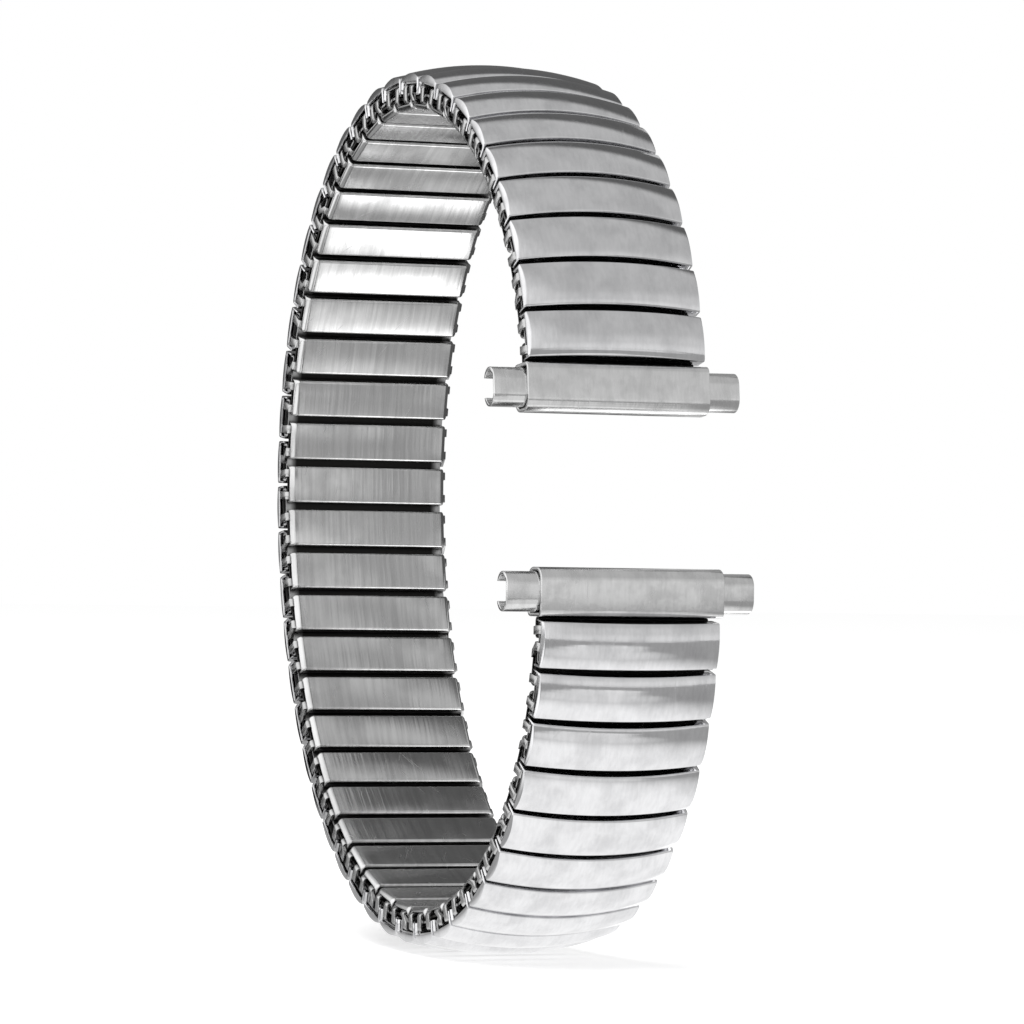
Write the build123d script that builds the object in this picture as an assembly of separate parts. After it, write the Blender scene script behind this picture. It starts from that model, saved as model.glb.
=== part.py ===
# Expansion watch band with 46 sprung links and telescoping ends, in millimetres.
# X runs across the band, to the right as the watch is read. The loop stands in the Y-Z plane:
# the watch side faces -Y and +Z is up. The origin is the middle of the upper spring-bar channel.
# A link's own frame has X across, Y along the band, away from the upper end, and Z outwards.
import math
import os

from build123d import *

# Driving dimensions of the whole band
link_count = 46
pitch = 4.0
row_gap = 0.22
outer_link_gap = 0.22
inner_link_gap = 0.7
fit = 0.02
overrun = 5.0

# Rest shape: the bend at each joint, in degrees, as waves round the loop
first_tangent_angle = 74.9
mean_bend_angle = 7.51
front_to_back_angle = 1.15
round_ends_angle = -0.96
top_to_bottom_angle = 0.21
skew_angle = -0.34

# Outer shell, a crowned cap
shell_setback = 0.25
shell_sheet = 0.2
shell_edge_height = 1.3
shell_crown_rise = 1.05
shell_arch_rise = 0.4
shell_bevel_start = 1.05
shell_bevel_angle = 80.0

# Upper and lower sleeves, folded sheet tubes
sleeve_sheet = 0.18
sleeve_corner = 0.26
upper_sleeve_floor = -0.1
upper_sleeve_height = 1.16
lower_sleeve_height = 1.08
lower_end_corner = 0.45

# Connecting bows, bent from flat strip
bow_strip = 0.28
bow_width = 0.7
bow_leg_length = 3.0
bow_side_play = 0.1
upper_leg_play = 0.21
lower_leg_play = 0.12
bow_corner = 0.25
bow_end_clearance = 0.03
bow_cover = 0.02
stretch_travel = 0.8
stretch_end_play = 0.09

# Leaf springs
leaf_thickness = 0.1
leaf_rise = 0.1
leaf_end_play = 1.22
leaf_side_play = 0.1

# End sleeves and the sliding ends that telescope in them
end_sleeve_length = 16.0
end_sleeve_width = 3.95
end_sleeve_depth = 2.88
end_sleeve_floor = -1.38
end_sleeve_sheet = 0.3
end_free_corner = 1.05
end_link_corner = 0.55
end_setback = 0.1
slide_sheet = 0.28
slide_clearance = 0.06
slide_middle_gap = 0.2
slide_reach = 2.8
slide_slot_width = 1.6

# Sizes that follow from the driving dimensions
shell_length = end_sleeve_length - 2 * shell_setback
shell_width = pitch - outer_link_gap
web_outer_x = shell_length / 2 - bow_cover
web_inner_x = web_outer_x - bow_strip
sleeve_length = 2 * (web_inner_x - bow_end_clearance)
leaf_length = sleeve_length - 2 * leaf_end_play
lower_sleeve_width = pitch - inner_link_gap
upper_sleeve_width = shell_width - 2 * (shell_sheet + fit)
upper_sleeve_top = upper_sleeve_floor + upper_sleeve_height
lower_sleeve_top = upper_sleeve_floor - row_gap
lower_sleeve_floor = lower_sleeve_top - lower_sleeve_height
leg_half_thickness = bow_strip / 2
upper_leg_height = upper_sleeve_top - sleeve_sheet - upper_leg_play - leg_half_thickness
lower_leg_height = lower_sleeve_top - sleeve_sheet - lower_leg_play - leg_half_thickness
lower_leg_limit = lower_sleeve_width / 2 - sleeve_sheet - bow_width / 2
upper_leg_limit = upper_sleeve_width / 2 - sleeve_sheet - bow_width / 2
slide_length = end_sleeve_length / 2 - slide_middle_gap
slide_width = end_sleeve_width - 2 * (end_sleeve_sheet + slide_clearance)
slide_depth = end_sleeve_depth - 2 * (end_sleeve_sheet + slide_clearance)
curl_radius = slide_depth / 2
bar_bore_radius = curl_radius - slide_sheet
end_sleeve_middle = end_sleeve_floor + end_sleeve_depth / 2
bar_from_joint = end_setback + end_sleeve_width - end_sleeve_sheet - slide_clearance - curl_radius

# Where a bow's legs lie along the band from the middle of its inner link. The leg of a stretching
# joint starts further in than that of a flexing one, by the joint's travel.
lower_leg_place = lower_leg_limit - bow_side_play
upper_leg_place = pitch / 2 - (upper_leg_limit - bow_side_play)
stretch_leg_place = pitch / 2 - (upper_leg_limit - stretch_end_play) + stretch_travel


# Path of the joints round the loop
def bend_at(joint):
    turn = 2 * math.pi * joint / link_count
    return (mean_bend_angle
            + front_to_back_angle * math.cos(turn)
            + round_ends_angle * math.cos(2 * turn)
            + top_to_bottom_angle * math.sin(turn)
            + skew_angle * math.sin(2 * turn))


def along(tangent, distance):
    angle = math.radians(tangent)
    return Vector(0, distance * math.cos(angle), distance * math.sin(angle))


def outward(tangent, distance):
    angle = math.radians(tangent)
    return Vector(0, -distance * math.sin(angle), distance * math.cos(angle))


def frame_at(point, tangent):
    return Location(tuple(point), (tangent, 0, 0))


bends = [bend_at(joint) for joint in range(link_count + 1)]
upper_end_tangent = first_tangent_angle + bends[0]
tangents = [first_tangent_angle]
for joint in range(1, link_count):
    tangents.append(tangents[-1] - bends[joint])
lower_end_tangent = tangents[-1] - bends[link_count]

bar_centre = along(upper_end_tangent, -bar_from_joint) + outward(upper_end_tangent, end_sleeve_middle)
joint_points = [Vector(0, 0, 0) - bar_centre]
for tangent in tangents:
    joint_points.append(joint_points[-1] + along(tangent, pitch))


# Where outer link number 1 to 46 and inner link number 0 to 46 lie
def outer_frame(link):
    middle = (joint_points[link - 1] + joint_points[link]) / 2
    return frame_at(middle, tangents[link - 1])


def inner_frame(link):
    if link == 0:
        return frame_at(joint_points[0], upper_end_tangent)
    if link == link_count:
        return frame_at(joint_points[link], lower_end_tangent)
    return frame_at(joint_points[link], tangents[link - 1] - bends[link] / 2)


# Rounded bar along X, from its width along the band, its floor and its top
def rounded_bar(length, width, floor, top, corner):
    section = Plane.YZ * Pos(0, (floor + top) / 2) * RectangleRounded(width, top - floor, corner)
    return extrude(section, length / 2, both=True)


# Prism along Y from a profile in the X-Z plane
def prism(profile, width):
    return extrude(Plane.XZ * profile, width / 2, both=True)


# Profile in the X-Z plane from its outline for X above zero
def mirrored(half_outline):
    other_half = [(-x, z) for x, z in reversed(half_outline)]
    return make_face(Polyline(*half_outline, *other_half, close=True))


# Solid of revolution whose rim is the crowned and arched top of a shell
def crowned_wheel(width, edge_height, arch_rise):
    half_length = shell_length / 2
    radius = (half_length ** 2 + shell_crown_rise ** 2) / (2 * shell_crown_rise)
    crown_edge = edge_height + shell_crown_rise
    hub = shell_edge_height + shell_crown_rise - radius
    side = width / 2
    rim = ThreePointArc((-side, crown_edge), (0, crown_edge + arch_rise), (side, crown_edge))
    spokes = Polyline((side, crown_edge), (side, hub), (-side, hub), (-side, crown_edge))
    section = Plane.YZ * make_face(Curve() + [rim, spokes])
    return revolve(section, axis=Axis((0, 0, hub), (0, 1, 0)), revolution_arc=360)


# Outline of a shell from the side, whose ends slope inwards from a set height, down to a floor
def shell_outline(half_length, slope_start, floor):
    top = shell_edge_height + shell_crown_rise + shell_arch_rise + overrun
    slope_run = (top - slope_start) / math.tan(math.radians(shell_bevel_angle))
    return [(half_length, floor), (half_length, slope_start), (half_length - slope_run, top)]


def outer_shell():
    half_length = shell_length / 2
    angle = math.radians(shell_bevel_angle)
    cut = shell_bevel_start - fit
    cut_reach = half_length - shell_sheet / math.sin(angle) + fit / math.tan(angle)
    blank = crowned_wheel(shell_width, shell_edge_height, shell_arch_rise)
    blank = blank & prism(mirrored(shell_outline(half_length, shell_bevel_start, 0)), shell_width + overrun)
    inside = crowned_wheel(shell_width - 2 * shell_sheet, shell_edge_height - shell_sheet, shell_arch_rise)
    cavity = [(half_length + fit, -overrun), (half_length + fit, cut)]
    cavity += shell_outline(cut_reach, cut, cut)[1:]
    inside = inside & prism(mirrored(cavity), shell_width + overrun)
    return (blank - inside).solid()


def upper_sleeve():
    outside = rounded_bar(
        sleeve_length, upper_sleeve_width, upper_sleeve_floor, upper_sleeve_top, sleeve_corner)
    inside = rounded_bar(
        sleeve_length + overrun, upper_sleeve_width - 2 * sleeve_sheet,
        upper_sleeve_floor + sleeve_sheet, upper_sleeve_top - sleeve_sheet,
        sleeve_corner - sleeve_sheet)
    return (outside - inside).solid()


# Side view of a lower sleeve, whose floor curls up at both ends, or of the space inside it
def lower_profile(inset):
    middle = lower_sleeve_floor + lower_sleeve_height / 2
    block = Rectangle(sleeve_length - 2 * inset, lower_sleeve_height - 2 * inset)
    block = Pos(0, middle) * fillet(block.vertices().group_by(Axis.Y)[0], lower_end_corner - inset)
    return block


# Full lower sleeve, or one from a set start to the far side for the half-length end pieces
def lower_sleeve():
    return sleeve_between(-lower_sleeve_width / 2, lower_sleeve_width / 2)


def sleeve_between(start, finish):
    width = finish - start
    outside = rounded_bar(sleeve_length, width, lower_sleeve_floor, lower_sleeve_top, sleeve_corner)
    outside = outside & prism(lower_profile(0), width + overrun)
    inside = rounded_bar(
        sleeve_length + overrun, width - 2 * sleeve_sheet,
        lower_sleeve_floor + sleeve_sheet, lower_sleeve_top - sleeve_sheet,
        sleeve_corner - sleeve_sheet)
    mouth_floor = lower_sleeve_floor + lower_end_corner
    mouth_height = lower_sleeve_top - sleeve_sheet - mouth_floor
    mouth = Pos(0, mouth_floor + mouth_height / 2) * Rectangle(sleeve_length + overrun, mouth_height)
    inside = inside & prism(lower_profile(sleeve_sheet) + mouth, width + overrun)
    return Pos(0, (start + finish) / 2, 0) * (outside - inside).solid()


# Bowed strip that lies on a sleeve's floor with its middle, its ends raised towards the legs
def leaf_spring(width, middle_floor):
    half_length = leaf_length / 2
    end_floor = middle_floor + leaf_rise
    under = ThreePointArc((-half_length, end_floor), (0, middle_floor), (half_length, end_floor))
    over = ThreePointArc(
        (half_length, end_floor + leaf_thickness),
        (0, middle_floor + leaf_thickness),
        (-half_length, end_floor + leaf_thickness))
    right = Line(under @ 1, over @ 0)
    left = Line(over @ 1, under @ 0)
    section = Plane.XZ * make_face(Curve() + [under, right, over, left])
    return extrude(section, width / 2, both=True)


def upper_leaf_spring():
    width = upper_sleeve_width - 2 * (sleeve_sheet + leaf_side_play)
    return leaf_spring(width, upper_sleeve_floor + sleeve_sheet + fit)


def lower_leaf_spring(sleeve_width):
    width = sleeve_width - 2 * (sleeve_sheet + leaf_side_play)
    return leaf_spring(width, lower_sleeve_floor + sleeve_sheet + fit)


# U-shaped bow at the right-hand edge, with its legs at two places along the band. Between the two
# rows of sleeves its web shifts from one place to the other.
def right_bow(lower_place, upper_place):
    leg_middle = web_outer_x - bow_leg_length / 2
    half_width = bow_width / 2
    lower_edge = lower_leg_height - leg_half_thickness
    upper_edge = upper_leg_height + leg_half_thickness
    lower_leg = Pos(leg_middle, lower_place, lower_leg_height) * Box(bow_leg_length, bow_width, bow_strip)
    upper_leg = Pos(leg_middle, upper_place, upper_leg_height) * Box(bow_leg_length, bow_width, bow_strip)
    web_outline = Polyline(
        (lower_place - half_width, lower_edge),
        (lower_place + half_width, lower_edge),
        (lower_place + half_width, lower_edge + bow_strip),
        (upper_place + half_width, upper_sleeve_floor),
        (upper_place + half_width, upper_edge),
        (upper_place - half_width, upper_edge),
        (upper_place - half_width, upper_sleeve_floor),
        (lower_place - half_width, lower_edge + bow_strip),
        close=True)
    web = Pos(web_inner_x, 0, 0) * extrude(Plane.YZ * make_face(web_outline), bow_strip)
    bow = lower_leg + upper_leg + web
    outer_edges = bow.edges().filter_by(Axis.Y).group_by(Axis.X)[-1]
    return fillet(outer_edges, bow_corner).solid()


def bow_pair(lower_place, upper_place):
    bow = right_bow(lower_place, upper_place)
    return [mirror(bow, about=Plane.YZ), bow]


# Outer link: shell, upper sleeve and its spring. Inner link: lower sleeve and its spring.
outer_pieces = {
    "outer_shell": [outer_shell()],
    "upper_sleeve": [upper_sleeve()],
    "leaf_springs": [upper_leaf_spring()],
}
inner_pieces = {
    "lower_sleeve": [lower_sleeve()],
    "leaf_springs": [lower_leaf_spring(lower_sleeve_width)],
}

# Bows behind and ahead of an inner link
bows_behind = bow_pair(-lower_leg_place, -upper_leg_place)
bows_ahead_flexing = bow_pair(lower_leg_place, upper_leg_place)
bows_ahead_stretching = bow_pair(lower_leg_place, stretch_leg_place)


# Every piece of one link in the band's frame, by name
def link_pieces(link):
    outer = outer_frame(link)
    inner = inner_frame(link)
    pieces = {name: [outer * piece for piece in solids] for name, solids in outer_pieces.items()}
    bows = list(bows_behind)
    if link < link_count:
        for name, solids in inner_pieces.items():
            pieces.setdefault(name, []).extend(inner * piece for piece in solids)
        bows += bows_ahead_flexing if link % 2 == 0 else bows_ahead_stretching
    pieces["connecting_bows"] = [inner * bow for bow in bows]
    return pieces


# End sleeve in the frame of the joint beside it, on the side away from the links
def end_tube(inset, length):
    width = end_sleeve_width - 2 * inset
    depth = end_sleeve_depth - 2 * inset
    block = Plane.YZ * Pos(0, end_sleeve_middle) * Rectangle(width, depth)
    block = fillet(block.vertices().group_by(Axis.Y)[0], end_free_corner - inset)
    block = fillet(block.vertices().group_by(Axis.Y)[-1], end_link_corner - inset)
    return extrude(block, length / 2, both=True)


def end_sleeve():
    tube = end_tube(0, end_sleeve_length) - end_tube(end_sleeve_sheet, end_sleeve_length + overrun)
    return Pos(0, -end_setback - end_sleeve_width / 2, 0) * tube.solid()


# Half-length inner sleeve against the end sleeve, with its leaf spring
def end_inner_sleeve():
    finish = lower_sleeve_width / 2
    start = -end_setback
    spring = lower_leaf_spring(finish - start)
    return [sleeve_between(start, finish), Pos(0, (start + finish) / 2, 0) * spring]


# Right-hand sliding end: a channel with both edges curled, open along its back
def right_slide():
    outside = Plane.YZ * SlotOverall(slide_width, slide_depth)
    inside = Plane.YZ * SlotOverall(slide_width - 2 * slide_sheet, slide_depth - 2 * slide_sheet)
    bore = Pos(-overrun, 0, 0) * extrude(inside, slide_length + 2 * overrun)
    slot_depth = curl_radius + overrun
    slot = Pos(slide_length / 2, 0, -slot_depth / 2) * Box(
        slide_length + overrun, slide_slot_width, slot_depth)
    channel = (extrude(outside, slide_length) - bore - slot).solid()
    start = end_sleeve_length / 2 + slide_reach - slide_length
    middle = -end_setback - end_sleeve_width / 2
    return Pos(start, middle, end_sleeve_middle) * channel


slide_right = right_slide()
slide_left = mirror(slide_right, about=Plane.YZ)

# The lower end holds the same pieces as the upper end, turned end for end
def turned(piece):
    return mirror(piece, about=Plane.XZ)


upper_end = inner_frame(0)
lower_end = inner_frame(link_count)
nodes = {
    "upper_end_sleeve": [upper_end * end_sleeve()],
    "upper_end_inner_sleeve": [upper_end * piece for piece in end_inner_sleeve()],
    "upper_end_connecting_bows": [upper_end * bow for bow in bows_ahead_flexing],
    "upper_sliding_end_left": [upper_end * slide_left],
    "upper_sliding_end_right": [upper_end * slide_right],
    "lower_end_sleeve": [lower_end * turned(end_sleeve())],
    "lower_end_inner_sleeve": [lower_end * turned(piece) for piece in end_inner_sleeve()],
    "lower_sliding_end_left": [lower_end * turned(slide_left)],
    "lower_sliding_end_right": [lower_end * turned(slide_right)],
}

# The first link is kept piece by piece, and every other link is a group of the same solids
for name, solids in link_pieces(1).items():
    nodes[f"link_01_{name}"] = solids
for link in range(2, link_count + 1):
    nodes[f"link_{link:02d}"] = [piece for solids in link_pieces(link).values() for piece in solids]

os.makedirs("parts", exist_ok=True)
for name, solids in nodes.items():
    export_step(Compound(children=solids) if len(solids) > 1 else solids[0], f"parts/{name}.step")

print("spring bar bore radius", bar_bore_radius)
print("lower bar", (lower_end * Pos(0, bar_from_joint, end_sleeve_middle)).position)
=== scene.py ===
import math

import bmesh
import bpy
from mathutils import Matrix, Vector


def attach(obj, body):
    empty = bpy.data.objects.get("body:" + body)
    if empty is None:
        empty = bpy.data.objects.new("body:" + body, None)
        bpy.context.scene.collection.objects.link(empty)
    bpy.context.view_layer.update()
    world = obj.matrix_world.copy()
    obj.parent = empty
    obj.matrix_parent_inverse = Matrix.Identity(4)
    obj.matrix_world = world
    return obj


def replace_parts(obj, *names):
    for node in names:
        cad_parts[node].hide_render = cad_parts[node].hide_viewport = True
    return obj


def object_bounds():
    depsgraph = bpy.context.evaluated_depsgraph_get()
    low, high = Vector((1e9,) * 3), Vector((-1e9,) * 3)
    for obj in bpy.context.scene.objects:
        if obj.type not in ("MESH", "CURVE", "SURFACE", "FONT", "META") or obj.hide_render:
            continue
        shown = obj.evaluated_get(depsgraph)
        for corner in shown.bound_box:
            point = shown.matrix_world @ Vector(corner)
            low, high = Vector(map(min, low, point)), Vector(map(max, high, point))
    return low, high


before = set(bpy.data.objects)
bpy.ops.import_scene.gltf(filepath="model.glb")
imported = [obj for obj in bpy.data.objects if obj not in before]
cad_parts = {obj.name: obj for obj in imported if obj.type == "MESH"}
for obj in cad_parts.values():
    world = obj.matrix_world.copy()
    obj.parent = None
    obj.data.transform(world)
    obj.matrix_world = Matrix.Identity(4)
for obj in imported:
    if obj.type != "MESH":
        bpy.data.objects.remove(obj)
cad_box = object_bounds()
mm = 0.001

# The row of links. Outer links lie end to end round the loop and inner links bridge their joints,
# half a pitch out of step. The loop keeps the bend that the band takes by itself when it is set
# on edge: slightly tighter at its two round ends than along its front and back.
link_count = 46
pitch = 4.0 * mm
outer_link_gap = 0.22 * mm
inner_link_gap = 0.7 * mm
row_gap = 0.22 * mm
fit = 0.02 * mm
first_tangent_angle = 74.9
mean_bend_angle = 7.51
front_to_back_angle = 1.15
round_ends_angle = -0.96
top_to_bottom_angle = 0.21
skew_angle = -0.34
end_sleeve_length = 16.0 * mm
end_sleeve_width = 3.95 * mm
end_sleeve_depth = 2.88 * mm
end_sleeve_floor = -1.38 * mm
end_sleeve_sheet = 0.3 * mm
end_setback = 0.1 * mm
slide_clearance = 0.06 * mm


def bend_at(joint):
    turn = 2 * math.pi * joint / link_count
    return (mean_bend_angle
            + front_to_back_angle * math.cos(turn)
            + round_ends_angle * math.cos(2 * turn)
            + top_to_bottom_angle * math.sin(turn)
            + skew_angle * math.sin(2 * turn))


def along(tangent, distance):
    angle = math.radians(tangent)
    return Vector((0, distance * math.cos(angle), distance * math.sin(angle)))


def outward(tangent, distance):
    angle = math.radians(tangent)
    return Vector((0, -distance * math.sin(angle), distance * math.cos(angle)))


bends = [bend_at(joint) for joint in range(link_count + 1)]
upper_end_tangent = first_tangent_angle + bends[0]
tangents = [first_tangent_angle]
for joint in range(1, link_count):
    tangents.append(tangents[-1] - bends[joint])
lower_end_tangent = tangents[-1] - bends[link_count]

curl_radius = end_sleeve_depth / 2 - end_sleeve_sheet - slide_clearance
bar_from_joint = end_setback + end_sleeve_width - end_sleeve_sheet - slide_clearance - curl_radius
end_sleeve_middle = end_sleeve_floor + end_sleeve_depth / 2
joint_points = [along(upper_end_tangent, bar_from_joint) - outward(upper_end_tangent, end_sleeve_middle)]
for tangent in tangents:
    joint_points.append(joint_points[-1] + along(tangent, pitch))

# Every link's place as one point of a row: its number, its row and its tilt about the X axis
places = []
for link in range(link_count + 1):
    if link == 0:
        inner_tilt = upper_end_tangent
    elif link == link_count:
        inner_tilt = lower_end_tangent
    else:
        inner_tilt = tangents[link - 1] - bends[link] / 2
    places.append((joint_points[link], link, True, math.radians(inner_tilt)))
for link in range(1, link_count + 1):
    middle = (joint_points[link - 1] + joint_points[link]) / 2
    places.append((middle, link, False, math.radians(tangents[link - 1])))

row_mesh = bpy.data.meshes.new("row_of_links")
row_mesh.from_pydata([place[0] for place in places], [], [])
for name, kind, column in (("link", "INT", 1), ("inner", "BOOLEAN", 2), ("tilt", "FLOAT", 3)):
    attribute = row_mesh.attributes.new(name, kind, "POINT")
    attribute.data.foreach_set("value", [place[column] for place in places])


# Geometry Nodes tree that sets an outer piece and an inner piece on one link of the row
def build_link_tree():
    tree = bpy.data.node_groups.new("pieces_of_a_link", "GeometryNodeTree")
    face = tree.interface
    face.new_socket("Row", in_out="INPUT", socket_type="NodeSocketGeometry")
    face.new_socket("Link", in_out="INPUT", socket_type="NodeSocketInt")
    face.new_socket("Outer piece", in_out="INPUT", socket_type="NodeSocketObject")
    face.new_socket("Inner piece", in_out="INPUT", socket_type="NodeSocketObject")
    face.new_socket("Metal", in_out="INPUT", socket_type="NodeSocketMaterial")
    face.new_socket("Pieces", in_out="OUTPUT", socket_type="NodeSocketGeometry")
    nodes, links = tree.nodes, tree.links
    given = nodes.new("NodeGroupInput")
    result = nodes.new("NodeGroupOutput")

    def attribute(name, data_type):
        node = nodes.new("GeometryNodeInputNamedAttribute")
        node.data_type = data_type
        node.inputs["Name"].default_value = name
        return node.outputs["Attribute"]

    points = nodes.new("GeometryNodeMeshToPoints")
    links.new(given.outputs["Row"], points.inputs["Mesh"])
    same_link = nodes.new("FunctionNodeCompare")
    same_link.data_type = "INT"
    same_link.operation = "EQUAL"
    links.new(attribute("link", "INT"), same_link.inputs[2])
    links.new(given.outputs["Link"], same_link.inputs[3])
    inner = attribute("inner", "BOOLEAN")
    outer = nodes.new("FunctionNodeBooleanMath")
    outer.operation = "NOT"
    links.new(inner, outer.inputs[0])
    tilt = nodes.new("ShaderNodeCombineXYZ")
    links.new(attribute("tilt", "FLOAT"), tilt.inputs["X"])
    turn = nodes.new("FunctionNodeEulerToRotation")
    links.new(tilt.outputs["Vector"], turn.inputs["Euler"])

    join = nodes.new("GeometryNodeJoinGeometry")
    for socket, row in (("Outer piece", outer.outputs["Boolean"]), ("Inner piece", inner)):
        chosen = nodes.new("FunctionNodeBooleanMath")
        chosen.operation = "AND"
        links.new(same_link.outputs["Result"], chosen.inputs[0])
        links.new(row, chosen.inputs[1])
        piece = nodes.new("GeometryNodeObjectInfo")
        links.new(given.outputs[socket], piece.inputs["Object"])
        placed = nodes.new("GeometryNodeInstanceOnPoints")
        links.new(points.outputs["Points"], placed.inputs["Points"])
        links.new(chosen.outputs["Boolean"], placed.inputs["Selection"])
        links.new(piece.outputs["Geometry"], placed.inputs["Instance"])
        links.new(turn.outputs["Rotation"], placed.inputs["Rotation"])
        links.new(placed.outputs["Instances"], join.inputs["Geometry"])
    realize = nodes.new("GeometryNodeRealizeInstances")
    links.new(join.outputs["Geometry"], realize.inputs["Geometry"])
    metal = nodes.new("GeometryNodeSetMaterial")
    links.new(realize.outputs["Geometry"], metal.inputs["Geometry"])
    links.new(given.outputs["Metal"], metal.inputs["Material"])
    links.new(metal.outputs["Geometry"], result.inputs["Pieces"])
    return tree


link_tree = build_link_tree()
link_inputs = {
    item.name: item.identifier
    for item in link_tree.interface.items_tree
    if item.in_out == "INPUT"
}


# One body's pieces as a plain mesh, from templates drawn in a link's own frame
def place_on_link(name, body, link, metal, outer_piece=None, inner_piece=None):
    maker = bpy.data.objects.new(name + "_maker", row_mesh)
    bpy.context.scene.collection.objects.link(maker)
    modifier = maker.modifiers.new("Pieces of a link", "NODES")
    modifier.node_group = link_tree
    modifier[link_inputs["Link"]] = link
    if outer_piece:
        modifier[link_inputs["Outer piece"]] = outer_piece
    if inner_piece:
        modifier[link_inputs["Inner piece"]] = inner_piece
    modifier[link_inputs["Metal"]] = metal
    graph = bpy.context.evaluated_depsgraph_get()
    mesh = bpy.data.meshes.new_from_object(maker.evaluated_get(graph))
    bpy.data.objects.remove(maker)
    mesh.name = name
    for unwanted in ("link", "inner", "tilt"):
        if unwanted in mesh.attributes:
            mesh.attributes.remove(mesh.attributes[unwanted])
    piece = bpy.data.objects.new(name, mesh)
    bpy.context.scene.collection.objects.link(piece)
    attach(piece, body)
    return piece


def replace_link_node(piece, link, own_node):
    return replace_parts(piece, own_node if link == 1 else f"link_{link:02d}")


def body_of_link(link):
    return f"link_{link:02d}"


# Template from rings of points, one ring for each station along X, joined by faces. Painted shade
# is how dark the metal is painted at a point where shade falls inside the band, from 0 to 1.
def template_from_rings(name, rings, closed_rings, closed_ends=False, painted_shade=None):
    work = bmesh.new()
    verts = [[work.verts.new(point) for point in ring] for ring in rings]
    count = len(rings[0])
    for first, second in zip(verts, verts[1:]):
        for i in range(count if closed_rings else count - 1):
            j = (i + 1) % count
            work.faces.new((first[i], first[j], second[j], second[i]))
    if closed_ends:
        work.faces.new(list(reversed(verts[0])))
        work.faces.new(verts[-1])
    if painted_shade:
        layer = work.verts.layers.float.new("painted_shade")
        for vert in work.verts:
            vert[layer] = painted_shade(vert.co)
    return template_from_bmesh(name, work)


def template_from_bmesh(name, work):
    mesh = bpy.data.meshes.new(name)
    work.to_mesh(mesh)
    work.free()
    template = bpy.data.objects.new(name, mesh)
    bpy.context.scene.collection.objects.link(template)
    return template


def thicken(template, sheet):
    wall = template.modifiers.new("Sheet thickness", "SOLIDIFY")
    wall.thickness = sheet
    wall.offset = -1
    wall.use_even_offset = True
    wall.use_rim = True


def soften(template, width, segments, angle):
    edge = template.modifiers.new("Softened edges", "BEVEL")
    edge.width = width
    edge.segments = segments
    edge.limit_method = "ANGLE"
    edge.angle_limit = math.radians(angle)


# The finished template: its modifiers applied, smooth but for its sharp edges
def finish_template(template, angle=35.0):
    graph = bpy.context.evaluated_depsgraph_get()
    mesh = bpy.data.meshes.new_from_object(template.evaluated_get(graph))
    template.modifiers.clear()
    template.data = mesh
    mesh.shade_smooth()
    mesh.set_sharp_from_angle(angle=math.radians(angle))
    return template


# How much narrower a rounded corner makes a side at a distance from the piece's middle
def corner_inset(x, length, radius):
    into_corner = max(0.0, abs(x) - (length / 2 - radius))
    return radius - math.sqrt(max(0.0, radius ** 2 - into_corner ** 2))


# Shader groups that the metals share. Rolling grain is fine streaks that run along the band;
# handling marks are faint smudges, blotches and hairline scratches. Both read Object coordinates,
# so each link has its own stretch of the pattern.
streak_low, streak_high = 0.3, 0.7
blotch_low, blotch_high = 0.35, 0.7
scratch_across, scratch_along = 7000.0, 240.0
scratch_turns = ((0.0, 0.0, 0.5), (0.5, 0.4, -0.9))
scratch_full = 0.8


def new_shader_group(name, inputs, outputs):
    tree = bpy.data.node_groups.new(name, "ShaderNodeTree")
    for label, value in inputs:
        socket = tree.interface.new_socket(label, in_out="INPUT", socket_type="NodeSocketFloat")
        socket.default_value = value
    for label, kind in outputs:
        tree.interface.new_socket(label, in_out="OUTPUT", socket_type=kind)
    return tree, tree.nodes.new("NodeGroupInput"), tree.nodes.new("NodeGroupOutput")


def stretched_noise(tree, across, along_band, detail, turn=(0.0, 0.0, 0.0)):
    nodes, links = tree.nodes, tree.links
    where = nodes.new("ShaderNodeTexCoord")
    scale = nodes.new("ShaderNodeCombineXYZ")
    for axis, source in (("X", across), ("Y", along_band), ("Z", along_band)):
        if isinstance(source, float):
            scale.inputs[axis].default_value = source
        else:
            links.new(source, scale.inputs[axis])
    turned = nodes.new("ShaderNodeMapping")
    turned.inputs["Rotation"].default_value = turn
    links.new(where.outputs["Object"], turned.inputs["Vector"])
    mapping = nodes.new("ShaderNodeMapping")
    links.new(turned.outputs["Vector"], mapping.inputs["Vector"])
    links.new(scale.outputs["Vector"], mapping.inputs["Scale"])
    noise = nodes.new("ShaderNodeTexNoise")
    noise.inputs["Scale"].default_value = 1.0
    noise.inputs["Detail"].default_value = detail
    links.new(mapping.outputs["Vector"], noise.inputs["Vector"])
    return noise.outputs["Fac"]


def remapped(tree, value, low, high, to_low=0.0, to_high=1.0):
    node = tree.nodes.new("ShaderNodeMapRange")
    node.interpolation_type = "SMOOTHSTEP"
    tree.links.new(value, node.inputs["Value"])
    limits = (("From Min", low), ("From Max", high), ("To Min", to_low), ("To Max", to_high))
    for socket, given in limits:
        if isinstance(given, float):
            node.inputs[socket].default_value = given
        else:
            tree.links.new(given, node.inputs[socket])
    return node.outputs["Result"]


def largest(tree, *values):
    total = values[0]
    for value in values[1:]:
        both = tree.nodes.new("ShaderNodeMath")
        both.operation = "MAXIMUM"
        tree.links.new(total, both.inputs[0])
        tree.links.new(value, both.inputs[1])
        total = both.outputs["Value"]
    return total


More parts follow.
